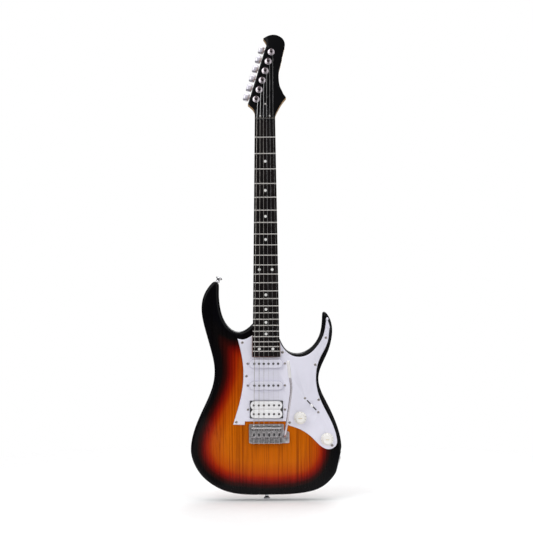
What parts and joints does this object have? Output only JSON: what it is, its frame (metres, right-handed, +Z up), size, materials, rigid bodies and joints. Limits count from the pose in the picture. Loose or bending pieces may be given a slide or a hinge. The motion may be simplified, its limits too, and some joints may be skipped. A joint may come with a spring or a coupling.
{
  "type": "electric guitar",
  "caption": "Double-cutaway electric guitar in sunburst with a white pickguard, bolt-on neck, hooked headstock with tuners in line and a vibrato bridge with its arm.",
  "frame": {"origin": "The seat of the end strap button on the body's tail, at mid thickness of the body.", "axes": "+Z runs up the neck, +X is to the right as seen from the front, and the front faces -Y."},
  "size_m": [0.3166, 0.1045, 0.9872],
  "materials": {
    "sunburst_wood": "gloss",
    "maple": "satin",
    "dark_board": "satin",
    "fret_nickel": "polished",
    "pearl": "gloss",
    "string_steel": "polished",
    "black_plastic": "gloss",
    "steel": "brushed",
    "white_ply": "gloss",
    "white_plastic": "gloss",
    "cream_plastic": "gloss",
    "fibre": "matte",
    "tubing": "matte",
    "zinc": "satin",
    "chrome": "polished"
  },
  "bodies": {
    "guitar": {"body": "sunburst_wood", "neck": "maple", "fretboard": "dark_board", "frets": "fret_nickel", "position_markers": "pearl", "strings": "string_steel", "strings_at_head": "string_steel", "nut": "black_plastic", "truss_rod": "steel", "truss_rod_cover": "black_plastic", "pickguard": "white_ply", "single_coil_covers": "white_plastic", "single_coil_bobbins": "fibre", "humbucker_bobbins": "white_plastic", "pickup_coils": "black_plastic", "pole_pieces": "steel", "humbucker_magnet": "steel", "humbucker_baseplate": "steel", "machine_screws": "chrome", "pickup_tubes": "tubing", "pot_housings": "steel", "control_nuts": "chrome", "switch_frame": "steel", "jack_plate": "chrome", "jack_socket": "chrome", "pivot_screws": "chrome", "trem_springs": "steel", "spring_claw": "steel", "spring_cover": "white_ply", "tuner_bushings": "chrome", "tuner_housings": "chrome", "strap_buttons": "chrome", "neck_plate": "chrome", "wood_screws": "chrome", "small_screws": "chrome"},
    "volume": {"volume_knob": "cream_plastic"},
    "tone": {"tone_knob": "cream_plastic"},
    "selector": {"switch_lever": "steel", "switch_tip": "white_plastic"},
    "tremolo": {"tremolo_plate": "chrome", "tremolo_block": "zinc", "bridge_screws": "chrome", "saddles": "chrome", "saddle_screws": "chrome", "intonation_springs": "chrome", "string_tails": "string_steel"},
    "arm": {"trem_arm": "chrome", "arm_tip": "white_plastic"},
    "post_1": {"tuner_post_1": "chrome"},
    "key_1": {"tuner_key_1": "chrome"},
    "post_2": {"tuner_post_2": "chrome"},
    "key_2": {"tuner_key_2": "chrome"},
    "post_3": {"tuner_post_3": "chrome"},
    "key_3": {"tuner_key_3": "chrome"},
    "post_4": {"tuner_post_4": "chrome"},
    "key_4": {"tuner_key_4": "chrome"},
    "post_5": {"tuner_post_5": "chrome"},
    "key_5": {"tuner_key_5": "chrome"},
    "post_6": {"tuner_post_6": "chrome"},
    "key_6": {"tuner_key_6": "chrome"}
  },
  "joints": [
    {"name": "tremolo_tilt", "type": "hinge", "parent": "guitar", "child": "tremolo", "pos_m": [0, -0.0245, 0.1465], "axis": [1, 0, 0], "range_deg": [-10, 3], "stiffness_Nm_per_rad": 12, "deforming": ["trem_springs", "strings"]},
    {"name": "arm_swing", "type": "hinge", "parent": "tremolo", "child": "arm", "pos_m": [0.0377, -0.0255, 0.1236], "axis": [0, -1, 0], "range_deg": [-120, 25]},
    {"name": "volume_turn", "type": "hinge", "parent": "guitar", "child": "volume", "pos_m": [0.071, -0.03, 0.1625], "axis": [0, -1, 0], "range_deg": [-150, 150]},
    {"name": "tone_turn", "type": "hinge", "parent": "guitar", "child": "tone", "pos_m": [0.1276, -0.03, 0.1175], "axis": [0, -1, 0], "range_deg": [-150, 150]},
    {"name": "selector_swing", "type": "hinge", "parent": "guitar", "child": "selector", "pos_m": [0.09525, 0.001, 0.18895], "axis": [0.7288, 0, 0.6847], "range_deg": [-24, 24]},
    {"name": "tuner_key_1_turn", "type": "hinge", "parent": "guitar", "child": "key_1", "pos_m": [-0.01678, 0.00527, 0.83449], "axis": [-0.9563, 0.0658, 0.2849], "continuous": true},
    {"name": "tuner_post_1_turn", "type": "hinge", "parent": "guitar", "child": "post_1", "pos_m": [-0.0183, -0.01582, 0.83425], "axis": [0, -0.9744, 0.225], "continuous": true},
    {"name": "tuner_key_2_turn", "type": "hinge", "parent": "guitar", "child": "key_2", "pos_m": [-0.01035, 0.01, 0.85499], "axis": [-0.9563, 0.0658, 0.2849], "continuous": true},
    {"name": "tuner_post_2_turn", "type": "hinge", "parent": "guitar", "child": "post_2", "pos_m": [-0.01187, -0.01109, 0.85475], "axis": [0, -0.9744, 0.225], "continuous": true},
    {"name": "tuner_key_3_turn", "type": "hinge", "parent": "guitar", "child": "key_3", "pos_m": [-0.00392, 0.01474, 0.87549], "axis": [-0.9563, 0.0658, 0.2849], "continuous": true},
    {"name": "tuner_post_3_turn", "type": "hinge", "parent": "guitar", "child": "post_3", "pos_m": [-0.00544, -0.00636, 0.87525], "axis": [0, -0.9744, 0.225], "continuous": true},
    {"name": "tuner_key_4_turn", "type": "hinge", "parent": "guitar", "child": "key_4", "pos_m": [0.00252, 0.01947, 0.89599], "axis": [-0.9563, 0.0658, 0.2849], "continuous": true},
    {"name": "tuner_post_4_turn", "type": "hinge", "parent": "guitar", "child": "post_4", "pos_m": [0.001, -0.00162, 0.89575], "axis": [0, -0.9744, 0.225], "continuous": true},
    {"name": "tuner_key_5_turn", "type": "hinge", "parent": "guitar", "child": "key_5", "pos_m": [0.00895, 0.0242, 0.91649], "axis": [-0.9563, 0.0658, 0.2849], "continuous": true},
    {"name": "tuner_post_5_turn", "type": "hinge", "parent": "guitar", "child": "post_5", "pos_m": [0.00743, 0.00311, 0.91625], "axis": [0, -0.9744, 0.225], "continuous": true},
    {"name": "tuner_key_6_turn", "type": "hinge", "parent": "guitar", "child": "key_6", "pos_m": [0.01538, 0.02893, 0.93699], "axis": [-0.9563, 0.0658, 0.2849], "continuous": true},
    {"name": "tuner_post_6_turn", "type": "hinge", "parent": "guitar", "child": "post_6", "pos_m": [0.01386, 0.00784, 0.93675], "axis": [0, -0.9744, 0.225], "continuous": true}
  ],
  "couplings": [
    {"joint": "tuner_post_1_turn", "follows": "tuner_key_1_turn", "ratio": 0.066667},
    {"joint": "tuner_post_2_turn", "follows": "tuner_key_2_turn", "ratio": 0.066667},
    {"joint": "tuner_post_3_turn", "follows": "tuner_key_3_turn", "ratio": 0.066667},
    {"joint": "tuner_post_4_turn", "follows": "tuner_key_4_turn", "ratio": 0.066667},
    {"joint": "tuner_post_5_turn", "follows": "tuner_key_5_turn", "ratio": 0.066667},
    {"joint": "tuner_post_6_turn", "follows": "tuner_key_6_turn", "ratio": 0.066667}
  ]
}
